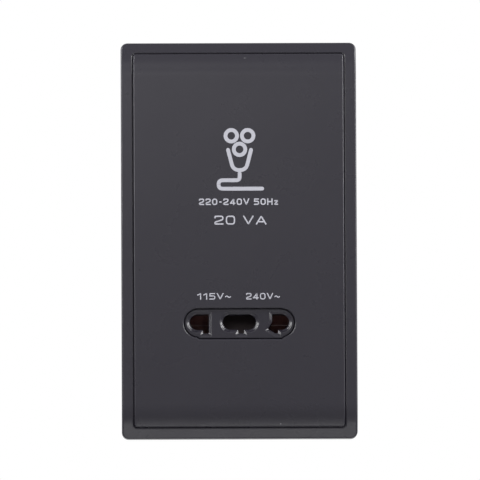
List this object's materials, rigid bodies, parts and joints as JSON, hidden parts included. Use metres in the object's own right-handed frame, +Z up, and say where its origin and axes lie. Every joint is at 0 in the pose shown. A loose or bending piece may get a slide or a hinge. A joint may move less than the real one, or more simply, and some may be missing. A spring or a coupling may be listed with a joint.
{
  "type": "shaver socket",
  "caption": "Vertical wall-plate shaver socket with rolled fascia, dual-voltage two-pin apertures, plug shutter and isolating transformer in a rear housing.",
  "frame": {"origin": "centre of the plate on the wall plane, midway between the two fixing holes", "axes": "+X to the right of the face, +Y into the wall, +Z up; the face looks along -Y"},
  "size_m": [0.086, 0.0467, 0.145],
  "materials": {
    "face_plastic": "fine satin moulded plastic, dark grey",
    "insert_plastic": "fine satin moulded plastic, dark grey",
    "base_plastic": "plain black moulded plastic",
    "shutter_plastic": "black moulded plastic",
    "contact_bronze": "copper alloy strip",
    "spring_steel": "drawn spring wire",
    "lamination_steel": "varnished stacked sheet steel",
    "bobbin_plastic": "natural moulded nylon",
    "winding_copper": "enamelled copper wire",
    "winding_tape": "yellow film tape",
    "cutout_plastic": "black moulded case",
    "housing_plastic": "dark grey moulded plastic",
    "terminal_plastic": "light grey moulded plastic",
    "terminal_brass": "machined brass",
    "screw_steel": "zinc plated",
    "brown_sleeve": "wire insulation",
    "blue_sleeve": "wire insulation",
    "green_sleeve": "wire insulation",
    "red_sleeve": "wire insulation",
    "white_sleeve": "wire insulation",
    "black_sleeve": "wire insulation"
  },
  "bodies": {
    "socket": {"outer_frame": "face_plastic", "fascia_panel": "face_plastic", "socket_insert": "insert_plastic", "contact_base": "base_plastic", "contact_115v": "contact_bronze", "contact_common": "contact_bronze", "contact_240v": "contact_bronze", "switch_contact_line": "contact_bronze", "switch_contact_load": "contact_bronze", "shutter_spring": "spring_steel", "transformer_core": "lamination_steel", "coil_bobbin": "bobbin_plastic", "primary_winding": "winding_copper", "secondary_winding": "winding_copper", "primary_tape": "winding_tape", "secondary_tape": "winding_tape", "thermal_cutout": "cutout_plastic", "rear_housing": "housing_plastic", "terminal_block": "terminal_plastic", "terminal_screws": "screw_steel", "terminal_clamp_live": "terminal_brass", "terminal_clamp_earth": "terminal_brass", "terminal_clamp_neutral": "terminal_brass", "base_screws": "screw_steel", "housing_screws": "screw_steel", "core_screws": "screw_steel", "lead_115v": "red_sleeve", "lead_common": "white_sleeve", "lead_240v": "black_sleeve", "lead_earth": "green_sleeve", "lead_neutral": "blue_sleeve", "lead_live": "brown_sleeve", "lead_cutout": "brown_sleeve", "lead_switched": "brown_sleeve"},
    "shutter": {"plug_shutter": "shutter_plastic", "switch_bridge": "contact_bronze"}
  },
  "joints": [
    {"name": "shutter_slide", "type": "slide", "parent": "socket", "child": "shutter", "axis": [0, 0, -1], "range_m": [0, 0.007], "stiffness_N_per_m": 120, "springref_m": -0.004, "deforming": ["shutter_spring"]}
  ]
}
